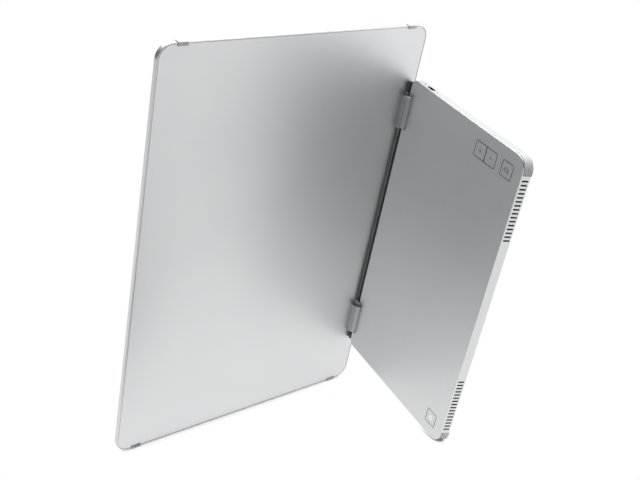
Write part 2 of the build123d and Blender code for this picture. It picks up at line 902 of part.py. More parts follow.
def main_board():
    body = span_box(board_distance, board_far, board_inner, board_outer, board_low, board_top)
    for s, y in board_post_places():
        body -= round_bar_z(screw_radius + screw_hole_clearance, s, y, board_low, board_top)
    return body - port_solid(port_shell_width, port_shell_height, 0, port_recess + port_shell_length)


def board_screws():
    """The screws of the main board and of the two button boards."""
    screws = board_screw_shanks()
    for s, y in board_post_places():
        screws += round_bar_z(screw_head_radius, s, y, board_top, board_top + screw_head_height)
    for s, y in key_post_places() + power_post_places():
        screws += round_bar_z(screw_head_radius, s, y, key_board_top, key_board_top + screw_head_height)
    return screws


def board_shield():
    """The pressed can over the picture processor."""
    place = Pos(shield_middle, (board_inner + board_outer) / 2)
    outer = Rectangle(shield_depth, shield_length)
    inner = Rectangle(shield_depth - 2 * shield_wall, shield_length - 2 * shield_wall)
    body = slab(place * outer, board_top, board_top + shield_height)
    return body - slab(place * inner, board_top, board_top + shield_height - shield_wall)


def display_cable():
    """The flat cable from the main board to the upper hinge."""
    half = cable_width / 2
    s_high = shield_near - cable_shield_gap
    return span_box(cable_distance, s_high, cable_place - half, cable_place + half,
                    board_top, board_top + cable_thickness)


def port_solid(width, height, y_out, y_in):
    """A run of the port's outline between two distances behind the base's end face."""
    return Pos(0, -y_out, 0) * extrude(port_profile(width, height), amount=-(y_in - y_out))


def usb_c_shell():
    far = port_recess + port_shell_length
    body = port_solid(port_shell_width, port_shell_height, port_recess, far)
    inner_width = port_shell_width - 2 * port_shell_wall
    inner_height = port_shell_height - 2 * port_shell_wall
    return body - port_solid(inner_width, inner_height, port_recess, far)


def usb_c_tongue():
    """The contact tongue, with the block at its root that closes the shell."""
    far = port_recess + port_shell_length
    inner_width = port_shell_width - 2 * port_shell_wall
    inner_height = port_shell_height - 2 * port_shell_wall
    block = port_solid(inner_width, inner_height, far - port_block_length, far)
    y_high = base_edge_y - far + port_block_length + port_tongue_length
    half_s = port_tongue_width / 2
    half_z = port_tongue_thickness / 2
    tongue = span_box(port_distance - half_s, port_distance + half_s, base_edge_y - far, y_high,
                      -port_depth - half_z, -port_depth + half_z)
    return block + tongue


def port_screw(s, clearance):
    """One of the two small screws beside the port."""
    y_head = base_edge_y - port_screw_head_depth
    head = round_bar_y(port_screw_head_radius + clearance, s, -port_depth, y_head, base_edge_y)
    y_tip = base_edge_y - port_screw_length
    return head + round_bar_y(port_screw_radius + clearance, s, -port_depth, y_tip, y_head)


def port_screws():
    places = port_screw_places()
    return port_screw(places[0], 0) + port_screw(places[1], 0)


def port_bracket():
    """The plate inside the end wall that holds the port."""
    half_s = port_bracket_width / 2
    half_z = port_depth - top_cover_thickness - port_bracket_cover_gap
    y_low = inner_wall_y - port_bracket_thickness
    body = span_box(port_distance - half_s, port_distance + half_s, y_low, inner_wall_y,
                    -port_depth - half_z, -port_depth + half_z)
    clear = 2 * port_bracket_clearance
    far = port_recess + port_shell_length
    body -= port_solid(port_shell_width + clear, port_shell_height + clear, 0, far)
    for s in port_screw_places():
        body -= port_screw(s, screw_hole_clearance)
    return body


def vent_mesh():
    """The fine black mesh behind the upper row of slots."""
    y_high = slot_first + slot_width / 2 + mesh_margin
    y_low = slot_first - slot_span - slot_width / 2 - mesh_margin
    z_high = -slot_top + mesh_margin
    z_low = -slot_top - slot_height - mesh_margin
    sheet = base_slab(tray_wall, z_low, z_high) - base_slab(tray_wall + mesh_thickness, z_low, z_high)
    return sheet & span_box(inner_wall_s - mesh_thickness, 2 * base_depth, y_low, y_high, z_low, z_high)


def speaker():
    """The closed speaker box behind the upper row of slots."""
    s_high = inner_wall_s - mesh_thickness - speaker_gap
    s_low = s_high - speaker_depth
    y_high = speaker_near + speaker_length
    body = span_box(s_low, s_high, speaker_near, y_high, floor_top, speaker_high)
    return fillet(body.edges().filter_by(Axis.Z), speaker_corner_radius)


def mirrored(shape):
    return mirror(shape, about=Plane.XZ)


def across(shape):
    return mirror(shape, about=Plane.YZ)


def panel_pieces():
    foot = panel_foot()
    return {
        "mid_frame": mid_frame(),
        "rear_cover": rear_cover(),
        "cover_glass": cover_glass(),
        "lcd_cell": lcd_cell(),
        "backlight": backlight(),
        "led_bar": led_bar(),
        "timing_board": timing_board(),
        "panel_cable": panel_cable(),
        "panel_foot_bottom_right": foot,
        "panel_foot_bottom_left": across(foot),
        "panel_foot_top_right": mirrored(foot),
        "panel_foot_top_left": across(mirrored(foot)),
        "hinge_housing_upper": hinge_housing(),
        "hinge_housing_lower": mirrored(hinge_housing()),
        "hinge_cap_upper": hinge_cap(),
        "hinge_cap_lower": mirrored(hinge_cap()),
        "friction_sleeve_upper": friction_sleeve(),
        "friction_sleeve_lower": mirrored(friction_sleeve()),
        "hinge_plate_upper": hinge_plate(),
        "hinge_plate_lower": mirrored(hinge_plate()),
        "hinge_screws": hinge_screws(),
    }


def base_pieces():
    pair_low, pair_high = pair_button_places()
    single = button_single_distance
    foot = corner_foot()
    domes = dome(pair_low, button_offset) + dome(pair_high, button_offset) + dome(single, button_offset)
    return {
        "base_top_cover": base_top_cover(),
        "base_tray": base_tray(),
        "hinge_spine": hinge_spine(),
        "hinge_bracket_upper": hinge_bracket(),
        "hinge_bracket_lower": mirrored(hinge_bracket()),
        "hinge_pin_upper": hinge_pin(),
        "hinge_pin_lower": mirrored(hinge_pin()),
        "bracket_screws": bracket_screws(),
        "base_screws": base_screws(),
        "corner_foot_lower": foot,
        "corner_foot_upper": mirrored(foot),
        "rubber_strip": strip(corner_foot_proud),
        "main_board": main_board(),
        "board_screws": board_screws(),
        "board_shield": board_shield(),
        "display_cable": display_cable(),
        "usb_c_shell": usb_c_shell(),
        "usb_c_tongue": usb_c_tongue(),
        "port_bracket": port_bracket(),
        "port_screws": port_screws(),
        "vent_mesh_upper": vent_mesh(),
        "vent_mesh_lower": mirrored(vent_mesh()),
        "speaker_upper": speaker(),
        "speaker_lower": mirrored(speaker()),
        "key_board": key_board(),
        "power_board": power_board(),
        "dome_switches": domes,
        "power_switch": dome(single, -button_offset),
        "brightness_up_button": button(pair_button_size(), pair_low, 1, 1, 0),
        "brightness_down_button": button(pair_button_size(), pair_high, 1, 0, 1),
        "rotate_button": button(single_button_size(), single, 1, 1, 1),
        "power_button": power_button(),
        "power_light_ring": light_ring(),
    }


# The panel leans back about X, and the origin is the middle of the part's lowest level
stand_up = Rot(90 + lean, 0, 0)
pieces = {name: stand_up * shape for name, shape in panel_pieces().items()}
for name, shape in base_pieces().items():
    pieces[name] = stand_up * base_in_panel * shape
whole = Compound([solid for shape in pieces.values() for solid in shape.solids()]).bounding_box()
to_origin = Pos(-whole.center().X, -whole.center().Y, -whole.min.Z)
for name, shape in pieces.items():
    export_step(to_origin * shape, f"parts/{name}.step")

panel_place = to_origin * stand_up
base_place = panel_place * base_in_panel


def report(label, place, point):
    """Prints where a point of the panel or the base lies in the part's own frame."""
    world = (place * Pos(*point)).position
    print(label, [round(value, 4) for value in world])


def report_direction(label, place, direction):
    start = place.position
    end = (place * Pos(*direction)).position
    print(label, [round(value, 6) for value in end - start])


print("lean", round(lean, 4), "size", [round(value, 3) for value in whole.size])
report("hinge axis", panel_place, (axis_x, 0, hinge_axis_height))
report_direction("hinge direction", panel_place, (0, 1, 0))
report_direction("panel back normal", panel_place, (0, 0, 1))
report_direction("base face normal", base_place, (0, 0, 1))
report_direction("away from the hinge", base_place, (1, 0, 0))
report("panel back centre", panel_place, (0, 0, 0))
report("base outer face centre", base_place, (base_depth / 2, 0, -base_thickness))
report("rubber strip centre", base_place, (strip_distance, 0, -base_thickness - corner_foot_proud))
report("port mouth", base_place, (port_distance, base_edge_y, -port_depth))
report("glass centre", panel_place, (0, 0, -panel_thickness))
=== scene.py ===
import bmesh
import bpy
import json
import math
from mathutils import Matrix, Vector


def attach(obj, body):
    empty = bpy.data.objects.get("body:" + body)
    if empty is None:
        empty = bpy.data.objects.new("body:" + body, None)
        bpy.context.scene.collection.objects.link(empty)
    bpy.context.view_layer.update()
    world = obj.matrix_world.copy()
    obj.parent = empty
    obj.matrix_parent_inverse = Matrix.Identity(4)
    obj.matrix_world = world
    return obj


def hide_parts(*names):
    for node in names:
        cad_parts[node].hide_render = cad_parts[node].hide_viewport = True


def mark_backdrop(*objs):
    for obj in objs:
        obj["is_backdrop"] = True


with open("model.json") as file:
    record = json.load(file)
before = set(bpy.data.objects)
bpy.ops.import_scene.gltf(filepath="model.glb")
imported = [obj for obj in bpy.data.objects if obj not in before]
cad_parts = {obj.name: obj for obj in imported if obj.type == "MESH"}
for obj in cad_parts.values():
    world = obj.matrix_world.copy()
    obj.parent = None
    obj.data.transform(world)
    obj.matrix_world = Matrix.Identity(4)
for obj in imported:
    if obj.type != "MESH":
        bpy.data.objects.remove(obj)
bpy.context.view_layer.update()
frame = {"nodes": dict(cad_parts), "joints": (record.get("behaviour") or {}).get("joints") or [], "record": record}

scene = bpy.context.scene
mm = 0.001
print("frame loaded,", len(frame["nodes"]), "nodes")

# How the panel and the base stand: degrees, and millimetres from the hinge's axis
standSpec = {"opening": 81.0, "lean": 17.19, "axisToPanelMiddle": 119.06, "axisOverBack": 2.11,
             "axisToBaseEdge": 2.3, "axisUnderFace": 1.2}
hinge = next(joint for joint in frame["joints"] if joint["name"] == "base_hinge")
hingePoint = Vector(hinge["pos_m"])
alongHinge = Vector(hinge["axis"]).normalized()
acrossPanel = Vector((1, 0, 0))
outOfBack = acrossPanel.cross(alongHinge)
opening = math.radians(standSpec["opening"])
acrossBase = outOfBack * math.sin(opening) - acrossPanel * math.cos(opening)
outOfFace = acrossBase.cross(alongHinge)
panelMiddle = hingePoint - (acrossPanel * standSpec["axisToPanelMiddle"]
                            + outOfBack * standSpec["axisOverBack"]) * mm
baseEdge = hingePoint + (acrossBase * standSpec["axisToBaseEdge"]
                         + outOfFace * standSpec["axisUnderFace"]) * mm
leanTurn = (math.radians(standSpec["lean"]), 0.0, 0.0)    # lays a pattern along the hinge

# From millimetres on the base's face, across, along the hinge and out, to the frame
baseMm = Matrix((acrossBase, alongHinge, outOfFace)).transposed().to_4x4()
baseMm.translation = baseEdge
baseMm = baseMm @ Matrix.Scale(mm, 4)


def linear(hexColour):
    channels = [int(hexColour[start:start + 2], 16) / 255 for start in (0, 2, 4)]
    channels = [c / 12.92 if c <= 0.04045 else ((c + 0.055) / 1.055) ** 2.4 for c in channels]
    return (*channels, 1.0)


def setInputs(tree, node, inputs):
    # A plain value is set on the socket. A node or its output is linked, and so is each of a list.
    for socket, value in inputs.items():
        for item in value if isinstance(value, list) else [value]:
            if isinstance(item, bpy.types.Node):
                item = next(output for output in item.outputs if output.enabled)
            if isinstance(item, bpy.types.NodeSocket):
                tree.links.new(item, node.inputs[socket])
            else:
                node.inputs[socket].default_value = item


def addNode(tree, kind, inputs=None, **settings):
    node = tree.nodes.new(kind)
    for name, value in settings.items():
        setattr(node, name, value)
    setInputs(tree, node, inputs or {})
    return node


def startMaterial(name, sockets):
    material = bpy.data.materials.new(name)
    material.use_nodes = True
    tree = material.node_tree
    tree.nodes.clear()
    shader = addNode(tree, "ShaderNodeBsdfPrincipled", sockets)
    addNode(tree, "ShaderNodeOutputMaterial", {"Surface": shader})
    place = addNode(tree, "ShaderNodeTexCoord").outputs["Object"]
    return material, tree, shader, place


def textureSurface(tree, shader, spec, tones, grain):
    # The colour goes from dark to pale with the tones, and gloss and bump follow the grain.
    # A noise has most of its values between 0.3 and 0.7.
    colour = addNode(tree, "ShaderNodeMix", {
        "Factor": tones, "A": linear(spec["darkColour"]), "B": linear(spec["paleColour"])},
        data_type="RGBA")
    gloss = addNode(tree, "ShaderNodeMapRange", {
        "Value": grain, "From Min": 0.3, "From Max": 0.7,
        "To Min": spec["roughness"] - spec["roughnessSpread"],
        "To Max": spec["roughness"] + spec["roughnessSpread"]})
    bump = addNode(tree, "ShaderNodeBump", {
        "Height": grain, "Strength": spec["bump"], "Distance": spec["bumpDepth"] * mm})
    setInputs(tree, shader, {"Base Color": colour, "Roughness": gloss, "Normal": bump})


def grainedSurface(name, spec):
    # Cloudy colour at a large size, and fine grain in the gloss and the bump
    material, tree, shader, place = startMaterial(name, spec["sockets"])
    cloud = addNode(tree, "ShaderNodeTexNoise", {
        "Vector": place, "Scale": 1000 / spec["cloudSize"], "Detail": 3.0, "Roughness": 0.5})
    grain = addNode(tree, "ShaderNodeTexNoise", {
        "Vector": place, "Scale": 1000 / spec["grainSize"], "Detail": 2.0, "Roughness": 0.6})
    textureSurface(tree, shader, spec, cloud, grain)
    return material


# Bead-blasted, clear-anodised aluminium: a pale satin metal that spreads reflections wide.
# The real grit is 0.1 mm, drawn at 0.9 mm so that a trace of it shows.
anodisedAluminium = grainedSurface("bead-blasted anodised aluminium", {
    "darkColour": "dedfe0", "paleColour": "e4e5e5", "cloudSize": 70.0, "grainSize": 0.9,
    "roughness": 0.42, "roughnessSpread": 0.03, "bump": 0.08, "bumpDepth": 0.02,
    "sockets": {"Metallic": 1.0}})

# Die-cast aluminium of the hinge blocks, with painted shade: its colour is darker than the sheet parts', for the
# shade in the crease by the hinge.
# Its grain is drawn as coarse as the sheet's.
hingeCastingWithPaintedShade = grainedSurface("hinge casting with painted crease shade", {
    "darkColour": "a2a3a5", "paleColour": "a9aaac", "cloudSize": 20.0, "grainSize": 0.9,
    "roughness": 0.45, "roughnessSpread": 0.03, "bump": 0.08, "bumpDepth": 0.02,
    "sockets": {"Metallic": 1.0}})

# Grey silicone rubber: matt, a little dusty, with a soft moulded skin.
# The skin's texture is finer than 0.1 mm, drawn at 0.6 mm so that it shows.
siliconeRubber = grainedSurface("grey silicone rubber", {
    "darkColour": "c9cacc", "paleColour": "d1d2d4", "cloudSize": 6.0, "grainSize": 0.6,
    "roughness": 0.72, "roughnessSpread": 0.06, "bump": 0.08, "bumpDepth": 0.02,
    "sockets": {"IOR": 1.42}})

# Glass-filled black nylon: near black with a faint spark-eroded texture
blackNylon = grainedSurface("spark-textured black nylon", {
    "darkColour": "131315", "paleColour": "1b1b1d", "cloudSize": 9.0, "grainSize": 0.4,
    "roughness": 0.55, "roughnessSpread": 0.1, "bump": 0.3, "bumpDepth": 0.05,
    "sockets": {"IOR": 1.53}})

# Steel with black electrophoretic paint: smooth, half gloss, a trace of orange peel
blackPaintedSteel = grainedSurface("black painted steel", {
    "darkColour": "0f0f11", "paleColour": "171719", "cloudSize": 5.0, "grainSize": 1.6,
    "roughness": 0.38, "roughnessSpread": 0.05, "bump": 0.12, "bumpDepth": 0.03,
    "sockets": {"IOR": 1.5}})

# Injection-moulded black liquid crystal polymer of the port's tongue: dark, half matt
blackPolymer = grainedSurface("moulded black liquid crystal polymer", {
    "darkColour": "0c0c0e", "paleColour": "131315", "cloudSize": 2.0, "grainSize": 0.25,
    "roughness": 0.48, "roughnessSpread": 0.06, "bump": 0.1, "bumpDepth": 0.02,
    "sockets": {"IOR": 1.6}})

# Moulded white polycarbonate, lit from behind: milky, with a soft glow
litPolycarbonate = grainedSurface("lit white polycarbonate", {
    "darkColour": "f2f5f7", "paleColour": "fafcfd", "cloudSize": 1.5, "grainSize": 0.3,
    "roughness": 0.35, "roughnessSpread": 0.05, "bump": 0.05, "bumpDepth": 0.01,
    "sockets": {"IOR": 1.58, "Emission Color": linear("fbfdff"), "Emission Strength": 0.6}})

# Laser-etched aluminium of the signs: dull dark grey, no shine left
etchedGrey = grainedSurface("laser-etched dark sign", {
    "darkColour": "5c5d60", "paleColour": "6a6b6e", "cloudSize": 0.8, "grainSize": 0.2,
    "roughness": 0.7, "roughnessSpread": 0.08, "bump": 0.1, "bumpDepth": 0.01,
    "sockets": {"IOR": 1.5}})

# Acrylic light guide under white films: milky, soft gloss
acrylicGuide = grainedSurface("acrylic light guide with white films", {
    "darkColour": "e9edf0", "paleColour": "f3f6f8", "cloudSize": 12.0, "grainSize": 0.5,
    "roughness": 0.3, "roughnessSpread": 0.06, "bump": 0.08, "bumpDepth": 0.02,
    "sockets": {"IOR": 1.49, "Coat Weight": 0.3, "Coat Roughness": 0.1}})


def brushedMetal(name, spec):
    # Fine scratches along one direction, from noise stretched along it. Their size is in mm.
    material, tree, shader, place = startMaterial(name, {"Metallic": 1.0})
    turned = addNode(tree, "ShaderNodeMapping", {
        "Vector": place, "Rotation": leanTurn,
        "Scale": tuple(1000 / size for size in spec["scratchSize"])})
    scratch = addNode(tree, "ShaderNodeTexNoise", {
        "Vector": turned, "Scale": 1.0, "Detail": 3.0, "Roughness": 0.6})
    shared = {"roughnessSpread": 0.07, "bump": 0.15, "bumpDepth": 0.01}
    textureSurface(tree, shader, {**shared, **spec}, scratch, scratch)
    return material


# Ground spring steel of the pins, sleeves and plates: cool grey with fine grinding lines
groundSteel = brushedMetal("ground spring steel", {
    "darkColour": "8f9194", "paleColour": "b3b5b8", "roughness": 0.3,
    "scratchSize": (0.25, 6.0, 0.25)})

# Nickel-plated steel of the screws: warm grey, brighter than the steel under it
nickelPlate = brushedMetal("nickel-plated steel", {
    "darkColour": "9c9b97", "paleColour": "bdbbb6", "roughness": 0.27,
    "scratchSize": (0.3, 0.3, 1.2)})

# Deep-drawn stainless steel of the port's shell: bright with drawing lines along it
drawnStainless = brushedMetal("deep-drawn stainless steel", {
    "darkColour": "a3a4a6", "paleColour": "c6c7c9", "roughness": 0.22,
    "scratchSize": (0.15, 0.15, 4.0)})

# Stamped stainless domes under the keys: bright and nearly smooth
stampedDome = brushedMetal("stamped stainless dome", {
    "darkColour": "b1b2b4", "paleColour": "d0d1d3", "roughness": 0.18,
    "scratchSize": (0.8, 0.4, 0.4)})

# Hard gold plating of the port's contact pads: warm and satin, with rolling lines along the pads
goldPlate = brushedMetal("hard gold plating", {
    "darkColour": "c99a45", "paleColour": "e3bb68", "roughness": 0.25,
    "scratchSize": (0.1, 0.1, 1.5)})


def circuitBoard():
    # Green solder mask over copper: darker board, paler green where a track runs under the mask
    spec = {"boardColour": "0f3a24", "trackColour": "1d5a38", "trackSize": 2.2,
            "trackFrom": 0.06, "trackTo": 0.1, "bump": 0.4, "bumpDepth": 0.03}
    material, tree, shader, place = startMaterial("solder-masked circuit board", {
        "Roughness": 0.34, "IOR": 1.55, "Coat Weight": 0.4, "Coat Roughness": 0.15})
    cells = addNode(tree, "ShaderNodeTexVoronoi", {
        "Vector": place, "Scale": 1000 / spec["trackSize"], "Randomness": 0.55},
        feature="DISTANCE_TO_EDGE", distance="EUCLIDEAN")
    track = addNode(tree, "ShaderNodeMapRange", {
        "Value": cells.outputs["Distance"], "From Min": spec["trackFrom"],
        "From Max": spec["trackTo"], "To Min": 1.0, "To Max": 0.0})
    colour = addNode(tree, "ShaderNodeMix", {
        "Factor": track, "A": linear(spec["boardColour"]), "B": linear(spec["trackColour"])},
        data_type="RGBA")
    bump = addNode(tree, "ShaderNodeBump", {
        "Height": track, "Strength": spec["bump"], "Distance": spec["bumpDepth"] * mm})
    setInputs(tree, shader, {"Base Color": colour, "Normal": bump})
    return material


waveTurn = 20.0    # radians that a wave texture runs through in one unit


def polyimideCable():
    # Amber polyimide film with copper tracks that show through as warm stripes.
    # A step is a radian of the wave, so the stripes are drawn 5 mm apart, coarser than real ones.
    spec = {"filmColour": "7a4414", "trackColour": "b0702c", "trackStep": 0.8}
    material, tree, shader, place = startMaterial("polyimide flat cable", {
        "Roughness": 0.3, "IOR": 1.7})
    stripes = addNode(tree, "ShaderNodeTexWave", {
        "Vector": place, "Scale": 1000 / spec["trackStep"] / waveTurn, "Distortion": 0.0},
        wave_type="BANDS", bands_direction="X", wave_profile="SIN")
    colour = addNode(tree, "ShaderNodeMix", {
        "Factor": stripes.outputs["Fac"], "A": linear(spec["filmColour"]),
        "B": linear(spec["trackColour"])}, data_type="RGBA")
    setInputs(tree, shader, {"Base Color": colour})
    return material


def wovenMesh():
    # Black polyester mesh: crossed threads, dark in the holes.
    # Real threads are 0.5 mm apart, drawn 3.1 mm apart so that they show in the slots.
    spec = {"threadColour": "1f1f21", "holeColour": "050506", "threadStep": 0.5,
            "bump": 0.5, "bumpDepth": 0.1}
    material, tree, shader, place = startMaterial("woven black polyester mesh", {
        "Roughness": 0.8, "IOR": 1.45})
    turned = addNode(tree, "ShaderNodeMapping", {"Vector": place, "Rotation": leanTurn})
    threads = [addNode(tree, "ShaderNodeTexWave", {
        "Vector": turned, "Scale": 1000 / spec["threadStep"] / waveTurn},
        wave_type="BANDS", bands_direction=direction) for direction in ("X", "Z")]
    weave = addNode(tree, "ShaderNodeMath", {
        0: threads[0].outputs["Fac"], 1: threads[1].outputs["Fac"]}, operation="MAXIMUM")
    colour = addNode(tree, "ShaderNodeMix", {
        "Factor": weave, "A": linear(spec["holeColour"]), "B": linear(spec["threadColour"])},
        data_type="RGBA")
    bump = addNode(tree, "ShaderNodeBump", {
        "Height": weave, "Strength": spec["bump"], "Distance": spec["bumpDepth"] * mm})
    setInputs(tree, shader, {"Base Color": colour, "Normal": bump})
    return material


pictureHalf = (112.7, 169.05)    # half the picture area in mm, across the panel and along it


def screenGlass(name, spec):
    # Distances along and across the panel tell the black border from the picture area
    material, tree, shader, place = startMaterial(name, {
        "Roughness": spec["roughness"], "IOR": 1.52, "Coat Weight": 0.6, "Coat Roughness": 0.02})
    fromMiddle = addNode(tree, "ShaderNodeVectorMath", {
        0: place, 1: panelMiddle}, operation="SUBTRACT")
    inside = []
    for direction, half in zip((acrossPanel, alongHinge), pictureHalf):
        distance = addNode(tree, "ShaderNodeVectorMath", {
            0: fromMiddle, 1: direction}, operation="DOT_PRODUCT")
        size = addNode(tree, "ShaderNodeMath", {0: distance}, operation="ABSOLUTE")
        inside.append(addNode(tree, "ShaderNodeMath", {
            0: size, 1: half * mm}, operation="LESS_THAN"))
    picture = addNode(tree, "ShaderNodeMath", {0: inside[0], 1: inside[1]}, operation="MULTIPLY")
    haze = addNode(tree, "ShaderNodeTexNoise", {
        "Vector": place, "Scale": 1000 / spec["hazeSize"], "Detail": 2.0})
    dark = addNode(tree, "ShaderNodeMix", {
        "Factor": haze, "A": linear(spec["pictureColour"]), "B": linear(spec["hazeColour"])},
        data_type="RGBA")
    colour = addNode(tree, "ShaderNodeMix", {
        "Factor": picture, "A": linear(spec["borderColour"]), "B": dark}, data_type="RGBA")
    setInputs(tree, shader, {"Base Color": colour})
    return material


# Aluminosilicate cover glass, printed black behind: deep gloss, the picture area a shade greyer
coverGlass = screenGlass("black-printed cover glass", {
    "roughness": 0.06, "borderColour": "050506", "pictureColour": "101114",
    "hazeColour": "131418", "hazeSize": 60.0})

# LCD glass with its polariser: satin and dark
polarisedGlass = screenGlass("polarised LCD glass", {
    "roughness": 0.25, "borderColour": "1b1c20", "pictureColour": "0d0e12",
    "hazeColour": "111217", "hazeSize": 30.0})

# Each key's middle and half size on the base's face
keySpots = {
    "brightness_up_button": {"middle": (100.25, 119.1), "half": (6.3, 6.2)},
    "brightness_down_button": {"middle": (113.15, 119.1), "half": (6.3, 6.2)},
    "rotate_button": {"middle": (132.9, 119.1), "half": (6.2, 6.2)},
    "power_button": {"middle": (132.9, -119.1), "half": (6.2, 6.2)},
}


def keyCap(name, spot):
    # The keys' own aluminium with a pale face, and painted shade for the gap round each key: a dark rim round the
    # face, and dull, dark walls under it.
    # Its grain is drawn as coarse as the sheet's.
    spec = {"faceColour": "dfe0e1", "gapShadeColour": "2b2b2d", "faceDepth": 0.04, "rim": 0.25,
            "grainSize": 0.9, "faceRoughness": 0.42, "wallRoughness": 0.65,
            "bump": 0.08, "bumpDepth": 0.02}
    material, tree, shader, place = startMaterial("anodised aluminium of " + name, {
        "Metallic": 1.0})
    fromFace = addNode(tree, "ShaderNodeVectorMath", {0: baseEdge, 1: place}, operation="SUBTRACT")
    depth = addNode(tree, "ShaderNodeVectorMath", {
        0: fromFace, 1: outOfFace}, operation="DOT_PRODUCT")
    # Painted shade below the face and in a rim round it
    dark = addNode(tree, "ShaderNodeMath", {
        0: depth, 1: spec["faceDepth"] * mm}, operation="GREATER_THAN")
    middle = baseEdge + (acrossBase * spot["middle"][0] + alongHinge * spot["middle"][1]) * mm
    fromMiddle = addNode(tree, "ShaderNodeVectorMath", {0: place, 1: middle}, operation="SUBTRACT")
    for direction, half in zip((acrossBase, alongHinge), spot["half"]):
        reach = addNode(tree, "ShaderNodeVectorMath", {
            0: fromMiddle, 1: direction}, operation="DOT_PRODUCT")
        size = addNode(tree, "ShaderNodeMath", {0: reach}, operation="ABSOLUTE")
        rim = addNode(tree, "ShaderNodeMath", {
            0: size, 1: (half - spec["rim"]) * mm}, operation="GREATER_THAN")
        dark = addNode(tree, "ShaderNodeMath", {0: rim, 1: dark}, operation="MAXIMUM")
    grain = addNode(tree, "ShaderNodeTexNoise", {
        "Vector": place, "Scale": 1000 / spec["grainSize"], "Detail": 2.0, "Roughness": 0.6})
    colour = addNode(tree, "ShaderNodeMix", {
        "Factor": dark, "A": linear(spec["faceColour"]), "B": linear(spec["gapShadeColour"])},
        data_type="RGBA")
    gloss = addNode(tree, "ShaderNodeMapRange", {
        "Value": dark, "To Min": spec["faceRoughness"], "To Max": spec["wallRoughness"]})
    bump = addNode(tree, "ShaderNodeBump", {
        "Height": grain, "Strength": spec["bump"], "Distance": spec["bumpDepth"] * mm})
    setInputs(tree, shader, {"Base Color": colour, "Roughness": gloss, "Normal": bump})
    return material


finishes = {
    "anodised_aluminium": anodisedAluminium,
    "cover_glass": coverGlass,
    "lcd_glass": polarisedGlass,
    "light_guide": acrylicGuide,
    "circuit_board": circuitBoard(),
    "flat_cable": polyimideCable(),
    "foot_rubber": siliconeRubber,
    "hinge_steel": groundSteel,
    "black_steel": blackPaintedSteel,
    "screw_steel": nickelPlate,
    "black_plastic": blackNylon,
    "black_mesh": wovenMesh(),
    "port_shell": drawnStainless,
    "port_tongue": blackPolymer,
    "switch_dome": stampedDome,
    "light_ring": litPolycarbonate,
}
for part in frame["record"]["subparts"]:
    mesh = frame["nodes"][part["node"]].data
    mesh.materials.clear()
    mesh.materials.append(finishes[part["material_slot"]])
for node, spot in keySpots.items():
    frame["nodes"][node].data.materials[0] = keyCap(node, spot)
# The hinge blocks take the darker casting, as painted shade in the crease
for node in ("hinge_housing_upper", "hinge_housing_lower", "hinge_cap_upper", "hinge_cap_lower"):
    frame["nodes"][node].data.materials[0] = hingeCastingWithPaintedShade
print("finishes made:", len(finishes) + len(keySpots) + 1)


def startTree(name, sizes):
    # Each size but the spots is a named input, of the kind that follows from its value
    tree = bpy.data.node_groups.new(name, "GeometryNodeTree")
    tree.interface.new_socket("Spots", in_out="INPUT", socket_type="NodeSocketGeometry")
    tree.interface.new_socket("Geometry", in_out="OUTPUT", socket_type="NodeSocketGeometry")
    kinds = {int: "NodeSocketInt", float: "NodeSocketFloat", tuple: "NodeSocketVector"}
    for label, value in sizes.items():
        if label == "spots":
            continue
        kind = kinds[type(value)]
        tree.interface.new_socket(label, in_out="INPUT", socket_type=kind).default_value = value
    return tree, addNode(tree, "NodeGroupInput").outputs


def raised(tree, curves, height):
    # A closed plate: the area between the curves, raised by the height
    outlines = addNode(tree, "GeometryNodeJoinGeometry", {"Geometry": curves[::-1]})
    area = addNode(tree, "GeometryNodeFillCurve", {"Curve": outlines})
    wall = addNode(tree, "GeometryNodeExtrudeMesh", {
        "Mesh": area, "Offset": (0.0, 0.0, 1.0), "Offset Scale": height, "Individual": False})
    underside = addNode(tree, "GeometryNodeFlipFaces", {"Mesh": area})
    return addNode(tree, "GeometryNodeJoinGeometry", {"Geometry": [wall, underside]})


def onSpots(tree, sockets, pieces, finish, turn=(0.0, 0.0, 0.0)):
    # One copy of the joined pieces on each spot, made real, with its finish
    weldReach = 0.002    # mm
    joined = addNode(tree, "GeometryNodeJoinGeometry", {"Geometry": pieces})
    welded = addNode(tree, "GeometryNodeMergeByDistance", {
        "Geometry": joined, "Distance": weldReach})
    copies = addNode(tree, "GeometryNodeInstanceOnPoints", {
        "Points": sockets["Spots"], "Instance": welded, "Rotation": turn})
    real = addNode(tree, "GeometryNodeRealizeInstances", {"Geometry": copies})
    painted = addNode(tree, "GeometryNodeSetMaterial", {"Geometry": real, "Material": finish})
    addNode(tree, "NodeGroupOutput", {"Geometry": painted})


def keepPiece(name, mesh, body):
    piece = bpy.data.objects.new(name, mesh)
    scene.collection.objects.link(piece)
    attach(piece, body)
    return piece


def growPiece(name, tree, sizes, body):
    # The tree's result on the spots of the base's face, kept as a plain mesh that rides on a body
    seedMesh = bpy.data.meshes.new(name + "Spots")
    seedMesh.from_pydata(sizes["spots"], [], [])
    seed = bpy.data.objects.new(name + "Spots", seedMesh)
    scene.collection.objects.link(seed)
    modifier = seed.modifiers.new("grow", "NODES")
    modifier.node_group = tree
    for item in tree.interface.items_tree:
        if item.in_out == "INPUT" and item.name in sizes:
            modifier[item.identifier] = sizes[item.name]
    grown = seed.evaluated_get(bpy.context.evaluated_depsgraph_get())
    plain = bpy.data.meshes.new_from_object(grown)
    plain.name = name
    plain.transform(baseMm)
    bpy.data.objects.remove(seed)
    return keepPiece(name, plain, body)


# The sizes of signs, gap shade fills, screws and pads are millimetres on the base's face
sunSizes = {"spots": [(100.2, 119.0, 0.0)], "discRadius": 0.85, "ringWidth": 0.45, "sides": 28,
            "rayCount": 8, "rayStart": 1.3, "rayLength": 0.7, "rayWidth": 0.3, "height": 0.015}


